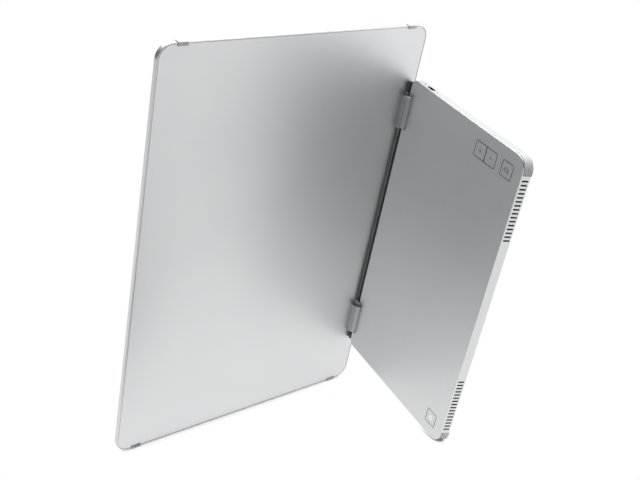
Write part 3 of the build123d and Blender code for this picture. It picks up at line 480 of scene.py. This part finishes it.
def sunSign(sizes):
    # A ring with rays, as on any brightness key
    tree, sockets = startTree("sunSign", sizes)
    inner = addNode(tree, "ShaderNodeMath", {
        0: sockets["discRadius"], 1: sockets["ringWidth"]}, operation="SUBTRACT")
    circles = [addNode(tree, "GeometryNodeCurvePrimitiveCircle", {
        "Radius": radius, "Resolution": sockets["sides"]})
        for radius in (sockets["discRadius"], inner)]
    ring = raised(tree, circles, sockets["height"])
    bar = addNode(tree, "GeometryNodeCurvePrimitiveQuadrilateral", {
        "Width": sockets["rayLength"], "Height": sockets["rayWidth"]})
    halfRay = addNode(tree, "ShaderNodeMath", {
        0: sockets["rayLength"], 1: 0.5}, operation="MULTIPLY")
    rayMiddle = addNode(tree, "ShaderNodeMath", {
        0: sockets["rayStart"], 1: halfRay}, operation="ADD")
    ray = addNode(tree, "GeometryNodeTransform", {
        "Geometry": raised(tree, [bar], sockets["height"]),
        "Translation": addNode(tree, "ShaderNodeCombineXYZ", {"X": rayMiddle})})
    step = addNode(tree, "ShaderNodeMath", {
        0: 2 * math.pi, 1: sockets["rayCount"]}, operation="DIVIDE")
    turn = addNode(tree, "ShaderNodeMath", {
        0: addNode(tree, "GeometryNodeInputIndex"), 1: step}, operation="MULTIPLY")
    rays = addNode(tree, "GeometryNodeInstanceOnPoints", {
        "Points": addNode(tree, "GeometryNodePoints", {"Count": sockets["rayCount"]}),
        "Instance": ray, "Rotation": addNode(tree, "ShaderNodeCombineXYZ", {"Z": turn})})
    realRays = addNode(tree, "GeometryNodeRealizeInstances", {"Geometry": rays})
    onSpots(tree, sockets, [ring, realRays], etchedGrey)
    return tree


suns = sunSign(sunSizes)
growPiece("brightness_up_sign", suns, sunSizes, "brightness_up_key")
smallSun = dict(sunSizes, spots=[(113.0, 119.0, 0.0)], discRadius=0.6, ringWidth=0.35,
                rayStart=0.85, rayLength=0.4, rayWidth=0.22)
growPiece("brightness_down_sign", suns, smallSun, "brightness_down_key")

# Millimetres and degrees, with the arrow's length as a share of its half width
rotateSizes = {"place": (132.3, 119.3), "screen": (2.7, 2.0), "drop": -1.1, "arcRadius": 2.45,
               "arcFrom": 200, "arcTo": -8, "arcSteps": 18, "line": 0.42, "arrow": 0.75,
               "arrowLength": 1.5, "height": 0.015}


def rotateSign(sizes):
    # A small screen under a curved arrow, for turning the picture
    mesh = bpy.data.meshes.new("rotate_sign")
    points, faces = [], []

    def strip(path, width, closed):
        # A line of even width: its two edges, mitred at each corner up to twice the width,
        # then the walls and both sides
        count = len(path)
        edges = []
        for index, here in enumerate(path):
            before = path[index - 1] if closed or index else None
            after = path[(index + 1) % count] if closed or index < count - 1 else None
            ahead = (after - here if after else here - before).normalized()
            behind = (here - before).normalized() if before else ahead
            along = (ahead + behind).normalized()
            mitre = Vector((-along.y, along.x)) * (width / 2 / max(0.5, along.dot(ahead)))
            edges.append((here + mitre, here - mitre))
        first = len(points)
        for left, right in edges:
            points.extend([(left.x, left.y, 0), (right.x, right.y, 0),
                           (left.x, left.y, sizes["height"]), (right.x, right.y, sizes["height"])])
        for index in range(count if closed else count - 1):
            a, b = first + 4 * index, first + 4 * ((index + 1) % count)
            faces.extend([(a + 2, a + 3, b + 3, b + 2), (a + 1, a, b, b + 1),
                          (a, a + 2, b + 2, b), (a + 3, a + 1, b + 1, b + 3)])
        if not closed:
            last = first + 4 * (count - 1)
            faces.extend([(first, first + 1, first + 3, first + 2),
                          (last + 1, last, last + 2, last + 3)])

    halfWidth, halfHeight = sizes["screen"][0] / 2, sizes["screen"][1] / 2
    screen = [Vector((x * halfWidth, y * halfHeight + sizes["drop"]))
              for x, y in ((-1, -1), (1, -1), (1, 1), (-1, 1))]
    strip(screen, sizes["line"], True)
    arc = []
    for step in range(sizes["arcSteps"] + 1):
        swept = (sizes["arcTo"] - sizes["arcFrom"]) * step / sizes["arcSteps"]
        angle = math.radians(sizes["arcFrom"] + swept)
        arc.append(Vector((math.cos(angle), math.sin(angle))) * sizes["arcRadius"]
                   + Vector((0, sizes["drop"])))
    strip(arc, sizes["line"], False)
    heading = (arc[-1] - arc[-2]).normalized()
    across = Vector((-heading.y, heading.x)) * sizes["arrow"]
    tip = arc[-1] + heading * sizes["arrow"] * sizes["arrowLength"]
    first = len(points)
    for height in (0, sizes["height"]):
        points.extend([(corner.x, corner.y, height)
                       for corner in (arc[-1] + across, arc[-1] - across, tip)])
    faces.extend([(first + 2, first + 1, first), (first + 3, first + 4, first + 5)])
    faces.extend([(first + a, first + b, first + b + 3, first + a + 3)
                  for a, b in ((0, 1), (1, 2), (2, 0))])
    shiftX, shiftY = sizes["place"]
    mesh.from_pydata([(x + shiftX, y + shiftY, z) for x, y, z in points], [], faces)
    fix = bmesh.new()
    fix.from_mesh(mesh)
    bmesh.ops.recalc_face_normals(fix, faces=fix.faces)
    fix.to_mesh(mesh)
    fix.free()
    mesh.transform(baseMm)
    mesh.materials.append(etchedGrey)
    return mesh


keepPiece("rotate_sign", rotateSign(rotateSizes), "rotate_key")
print("signs made")

gapShadeSizes = {"spots": [(132.9, 119.1, -0.02), (132.9, -119.1, -0.02)], "width": 12.98,
               "length": 12.98, "cornerRadius": 1.19, "cornerSteps": 6, "lineWidth": 0.28,
               "depth": 1.2}


def gapShadeFill(sizes):
    # A dark fill in the gap round a key, just under the face: painted shade for the shadow in that narrow gap
    tree, sockets = startTree("gapShadeFill", sizes)
    # The outer outline is as large as the gap, and the inner one is two line widths less
    outlines = []
    for shrink in (0.0, 2.0):
        less = addNode(tree, "ShaderNodeMath", {
            0: sockets["lineWidth"], 1: shrink}, operation="MULTIPLY")
        halfLess = addNode(tree, "ShaderNodeMath", {0: less, 1: 0.5}, operation="MULTIPLY")
        width, length, radius = [addNode(tree, "ShaderNodeMath", {
            0: sockets[label], 1: taken}, operation="SUBTRACT")
            for label, taken in (("width", less), ("length", less), ("cornerRadius", halfLess))]
        box = addNode(tree, "GeometryNodeCurvePrimitiveQuadrilateral", {
            "Width": width, "Height": length})
        outlines.append(addNode(tree, "GeometryNodeFilletCurve", {
            "Curve": box, "Radius": radius, "Count": sockets["cornerSteps"]}, mode="POLY"))
    down = addNode(tree, "ShaderNodeMath", {0: sockets["depth"], 1: -1.0}, operation="MULTIPLY")
    ring = addNode(tree, "GeometryNodeTransform", {
        "Geometry": raised(tree, outlines, sockets["depth"]),
        "Translation": addNode(tree, "ShaderNodeCombineXYZ", {"Z": down})})
    onSpots(tree, sockets, [ring], blackNylon)
    return tree


# Painted shade: dark fills in the gaps round the keys
gapShades = gapShadeFill(gapShadeSizes)
growPiece("single_key_gap_shade", gapShades, gapShadeSizes, "base")
pairGapShade = dict(gapShadeSizes, spots=[(106.7, 119.1, -0.02)], width=26.08)
growPiece("pair_key_gap_shade", gapShades, pairGapShade, "base")
dividerGapShade = dict(pairGapShade, width=0.28, length=12.4, cornerRadius=0.14, lineWidth=0.13)
growPiece("pair_divider_gap_shade", gapShades, dividerGapShade, "base")
print("gaskets made")

# The lobes' root and rounding are shares of the recess's radius
screwSizes = {
    "spots": [(across, side * along, -8.1)
              for across, along in ((9.3, 76.0), (75.75, 129.0), (142.0, 50.0))
              for side in (1, -1)],
    "headRadius": 2.0, "headHeight": 0.6, "chamfer": 0.12, "shankRadius": 0.9, "length": 6.1,
    "sides": 32, "recessRadius": 0.95, "recessDepth": 0.35, "lobeCount": 6, "lobeRoot": 0.66,
    "lobeRound": 0.16, "lobeSteps": 2, "turn": (math.pi, 0.0, 0.0),
}


def starScrew(sizes):
    # Flat head with a six-lobed recess, and a plain shank that is hidden in its boss
    tree, sockets = startTree("starScrew", sizes)
    rim = addNode(tree, "ShaderNodeMath", {
        0: sockets["headRadius"], 1: sockets["chamfer"]}, operation="SUBTRACT")
    rootRadius, roundRadius = [addNode(tree, "ShaderNodeMath", {
        0: sockets["recessRadius"], 1: sockets[share]}, operation="MULTIPLY")
        for share in ("lobeRoot", "lobeRound")]
    star = addNode(tree, "GeometryNodeCurveStar", {
        "Points": sockets["lobeCount"], "Outer Radius": sockets["recessRadius"],
        "Inner Radius": rootRadius})
    lobes = addNode(tree, "GeometryNodeFilletCurve", {
        "Curve": star, "Radius": roundRadius, "Count": sockets["lobeSteps"]}, mode="POLY")
    headCircle, shankCircle = [addNode(tree, "GeometryNodeCurvePrimitiveCircle", {
        "Radius": radius, "Resolution": sockets["sides"]})
        for radius in (rim, sockets["shankRadius"])]
    face = addNode(tree, "GeometryNodeFillCurve", {
        "Curve": addNode(tree, "GeometryNodeJoinGeometry", {"Geometry": [lobes, headCircle]})})
    pocket = addNode(tree, "GeometryNodeExtrudeMesh", {
        "Mesh": addNode(tree, "GeometryNodeFillCurve", {"Curve": lobes}),
        "Offset": (0.0, 0.0, -1.0), "Offset Scale": sockets["recessDepth"], "Individual": False})
    walls = []
    upper, upperHeight = rim, 0.0
    for radius, depth in (("headRadius", "chamfer"), ("headRadius", "headHeight"),
                          ("shankRadius", "headHeight"), ("shankRadius", "length")):
        # Each wall is a cone between two rings of the profile
        height = addNode(tree, "ShaderNodeMath", {0: sockets[depth], 1: -1.0}, operation="MULTIPLY")
        drop = addNode(tree, "ShaderNodeMath", {0: upperHeight, 1: height}, operation="SUBTRACT")
        cone = addNode(tree, "GeometryNodeMeshCone", {
            "Vertices": sockets["sides"], "Radius Top": upper, "Radius Bottom": sockets[radius],
            "Depth": drop}, fill_type="NONE")
        down = addNode(tree, "ShaderNodeCombineXYZ", {"Z": height})
        walls.append(addNode(tree, "GeometryNodeTransform", {
            "Geometry": cone, "Translation": down}))
        upper, upperHeight = sockets[radius], height
    disc = addNode(tree, "GeometryNodeFlipFaces", {
        "Mesh": addNode(tree, "GeometryNodeFillCurve", {"Curve": shankCircle})})
    tip = addNode(tree, "GeometryNodeTransform", {"Geometry": disc, "Translation": down})
    onSpots(tree, sockets, [face, pocket, *walls, tip], nickelPlate, sockets["turn"])
    return tree


screws = starScrew(screwSizes)
baseScrews = growPiece("base_star_screws", screws, screwSizes, "base")
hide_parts("base_screws")
portScrewSizes = dict(
    screwSizes, spots=[(12.5, 135.6, -3.9), (29.7, 135.6, -3.9)], headRadius=0.75,
    headHeight=0.5, chamfer=0.06, shankRadius=0.45, length=2.9, recessRadius=0.42,
    recessDepth=0.28, turn=(-math.pi / 2, 0.0, 0.0))
portScrews = growPiece("port_star_screws", screws, portScrewSizes, "base")
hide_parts("port_screws")
print("screws made")

padSizes = {"spots": [(21.1, 131.75, -3.9)], "padCount": 12, "pitch": 0.5, "padWidth": 0.26,
            "padLength": 3.1, "padHeight": 0.02, "tongue": 0.7}


def contactPads(sizes):
    # Gold pads in a row on both faces of the port's tongue
    tree, sockets = startTree("contactPads", sizes)
    bar = addNode(tree, "GeometryNodeCurvePrimitiveQuadrilateral", {
        "Width": sockets["padWidth"], "Height": sockets["padLength"]})
    pad = raised(tree, [bar], sockets["padHeight"])
    last = addNode(tree, "ShaderNodeMath", {0: sockets["padCount"], 1: 1.0}, operation="SUBTRACT")
    middle = addNode(tree, "ShaderNodeMath", {0: last, 1: 0.5}, operation="MULTIPLY")
    fromMiddle = addNode(tree, "ShaderNodeMath", {
        0: addNode(tree, "GeometryNodeInputIndex"), 1: middle}, operation="SUBTRACT")
    across = addNode(tree, "ShaderNodeMath", {
        0: fromMiddle, 1: sockets["pitch"]}, operation="MULTIPLY")
    spread = addNode(tree, "GeometryNodePoints", {
        "Count": sockets["padCount"],
        "Position": addNode(tree, "ShaderNodeCombineXYZ", {"X": across})})
    copies = addNode(tree, "GeometryNodeInstanceOnPoints", {"Points": spread, "Instance": pad})
    row = addNode(tree, "GeometryNodeRealizeInstances", {"Geometry": copies})
    halfTongue = addNode(tree, "ShaderNodeMath", {
        0: sockets["tongue"], 1: 0.5}, operation="MULTIPLY")
    upper = addNode(tree, "GeometryNodeTransform", {
        "Geometry": row, "Translation": addNode(tree, "ShaderNodeCombineXYZ", {"Z": halfTongue})})
    lower = addNode(tree, "GeometryNodeTransform", {
        "Geometry": upper, "Rotation": (0.0, math.pi, 0.0)})
    onSpots(tree, sockets, [upper, lower], goldPlate)
    return tree


growPiece("port_contact_pads", contactPads(padSizes), padSizes, "base")
print("contact pads made")

# Metres, and shares from 0 to 1: of open air in the shadow, and of the painted dark patch left further out
floorSpec = {
    "size": 40.0, "colour": "f6f6f6", "roughness": 0.9, "specular": 0.1,
    "shadowReach": 0.012, "shadowFrom": 0.15, "shadowTo": 0.6, "leastWhite": 0.05,
    "shadowSamples": 8, "shadePatchColour": "161616", "shadePatchFrom": 0.022, "shadePatchTo": 0.096,
    "shadePatchSides": ((-0.628, -0.778, 0.0), (-0.95, -0.3, 0.0)),
    "shadePatchFadeFrom": 0.12, "shadePatchFadeTo": 0.4, "shadePatchFarShare": 0.62,
}


def studioFloor(spec):
    # A pale matt sweep under the object. It shows white, and keeps the object's shadow.
    # A dark patch is painted on it at the near left, so that the base's face shows a painted dark reflection for
    # the shade near the hinge. The patch pales further out.
    half = spec["size"] / 2
    mesh = bpy.data.meshes.new("studioFloor")
    corners = [(-half, -half, 0), (half, -half, 0), (half, half, 0), (-half, half, 0)]
    mesh.from_pydata(corners, [], [(0, 1, 2, 3)])
    floor = bpy.data.objects.new("studioFloor", mesh)
    scene.collection.objects.link(floor)
    material, tree, shader, place = startMaterial("pale matt sweep with painted dark patch", {
        "Roughness": spec["roughness"], "Specular IOR Level": spec["specular"]})
    # The contact shadow
    openness = addNode(tree, "ShaderNodeAmbientOcclusion", {
        "Distance": spec["shadowReach"]}, samples=spec["shadowSamples"])
    outside = addNode(tree, "ShaderNodeMapRange", {
        "Value": openness.outputs["AO"], "From Min": spec["shadowFrom"],
        "From Max": spec["shadowTo"], "To Min": spec["leastWhite"]},
        interpolation_type="SMOOTHSTEP")
    # How much of the floor the painted dark patch covers, less further out
    cover = 1.0
    for side in spec["shadePatchSides"]:
        reach = addNode(tree, "ShaderNodeVectorMath", {
            0: place, 1: side}, operation="DOT_PRODUCT")
        edge = addNode(tree, "ShaderNodeMapRange", {
            "Value": reach, "From Min": spec["shadePatchFrom"], "From Max": spec["shadePatchTo"]},
            interpolation_type="SMOOTHSTEP")
        cover = addNode(tree, "ShaderNodeMath", {0: edge, 1: cover}, operation="MULTIPLY")
    far = addNode(tree, "ShaderNodeVectorMath", {0: place}, operation="LENGTH")
    fading = addNode(tree, "ShaderNodeMapRange", {
        "Value": far, "From Min": spec["shadePatchFadeFrom"], "From Max": spec["shadePatchFadeTo"],
        "To Min": 1.0, "To Max": spec["shadePatchFarShare"]}, interpolation_type="SMOOTHSTEP")
    cover = addNode(tree, "ShaderNodeMath", {0: fading, 1: cover}, operation="MULTIPLY")
    colour = addNode(tree, "ShaderNodeMix", {
        "Factor": cover, "A": linear(spec["colour"]), "B": linear(spec["shadePatchColour"])},
        data_type="RGBA")
    setInputs(tree, shader, {"Base Color": colour})
    # White to the camera, and in metal and glass, outside the shadow and the painted dark patch
    ray = addNode(tree, "ShaderNodeLightPath").outputs
    seen = ray["Is Camera Ray"]
    for label in ("Is Glossy Ray", "Is Transmission Ray"):
        seen = addNode(tree, "ShaderNodeMath", {0: seen, 1: ray[label]}, operation="MAXIMUM")
    bare = addNode(tree, "ShaderNodeMath", {0: 1.0, 1: cover}, operation="SUBTRACT")
    white = addNode(tree, "ShaderNodeMath", {0: seen, 1: outside}, operation="MULTIPLY")
    white = addNode(tree, "ShaderNodeMath", {0: white, 1: bare}, operation="MULTIPLY")
    glow = addNode(tree, "ShaderNodeEmission", {"Strength": 1.0})
    mixed = addNode(tree, "ShaderNodeMixShader", {0: white, 1: shader, 2: glow})
    output = next(node for node in tree.nodes if node.type == "OUTPUT_MATERIAL")
    setInputs(tree, output, {"Surface": mixed})
    mesh.materials.append(material)
    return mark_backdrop(floor)


studioFloor(floorSpec)

# Metres and watts. The air goes from dark to pale towards its pale side.
lightSpec = {
    "darkAir": "1c1c1c", "paleAir": "f0f0f0", "paleSide": (0.78, 0.55, 0.3),
    "paleFrom": 0.0, "paleTo": 0.6,
    "softboxes": [
        {"name": "topSoftbox", "place": (0.0, -0.1, 1.6), "target": (0.0, 0.0, 0.0),
         "size": 1.4, "power": 30.0},
        {"name": "rightSoftbox", "place": (1.3, -0.75, 0.75), "target": (0.0, 0.0, 0.3),
         "size": 0.8, "power": 4.0},
        {"name": "lowSoftbox", "place": (0.6, -0.8, 0.08), "target": (0.0, 0.0, 0.15),
         "size": 0.4, "power": 0.4},
    ],
}


def studioLight(spec):
    # Air that is pale on one side and dark elsewhere, and soft square lamps
    world = bpy.data.worlds.new("studioAir")
    world.use_nodes = True
    tree = world.node_tree
    tree.nodes.clear()
    toSky = addNode(tree, "ShaderNodeTexCoord").outputs["Generated"]
    side = addNode(tree, "ShaderNodeVectorMath", {
        0: toSky, 1: spec["paleSide"]}, operation="DOT_PRODUCT")
    fade = addNode(tree, "ShaderNodeMapRange", {
        "Value": side, "From Min": spec["paleFrom"], "From Max": spec["paleTo"]},
        interpolation_type="SMOOTHSTEP")
    colour = addNode(tree, "ShaderNodeMix", {
        "Factor": fade, "A": linear(spec["darkAir"]), "B": linear(spec["paleAir"])},
        data_type="RGBA")
    air = addNode(tree, "ShaderNodeBackground", {"Color": colour, "Strength": 1.0})
    addNode(tree, "ShaderNodeOutputWorld", {"Surface": air})
    scene.world = world
    for box in spec["softboxes"]:
        lamp = bpy.data.lights.new(box["name"], "AREA")
        lamp.shape = "SQUARE"
        lamp.size = box["size"]
        lamp.energy = box["power"]
        holder = bpy.data.objects.new(box["name"], lamp)
        holder.location = box["place"]
        aim = Vector(box["target"]) - Vector(box["place"])
        holder.rotation_euler = aim.to_track_quat("-Z", "Y").to_euler()
        scene.collection.objects.link(holder)


studioLight(lightSpec)

# Metres, degrees, and millimetres of lens and sensor
cameraSpec = {"place": (-0.45753, -0.56558, 0.40115), "turn": (73.712, 0.416, -39.135),
              "lens": 55.344, "sensor": 36.0, "near": 0.01, "far": 100.0}


def photoCamera(spec):
    lens = bpy.data.cameras.new("photoCamera")
    lens.lens = spec["lens"]
    lens.sensor_width = spec["sensor"]
    lens.clip_start = spec["near"]
    lens.clip_end = spec["far"]
    camera = bpy.data.objects.new("photoCamera", lens)
    camera.location = spec["place"]
    camera.rotation_euler = [math.radians(angle) for angle in spec["turn"]]
    scene.collection.objects.link(camera)
    scene.camera = camera


photoCamera(cameraSpec)
scene.view_settings.view_transform = "Standard"
print("floor, light and camera set")
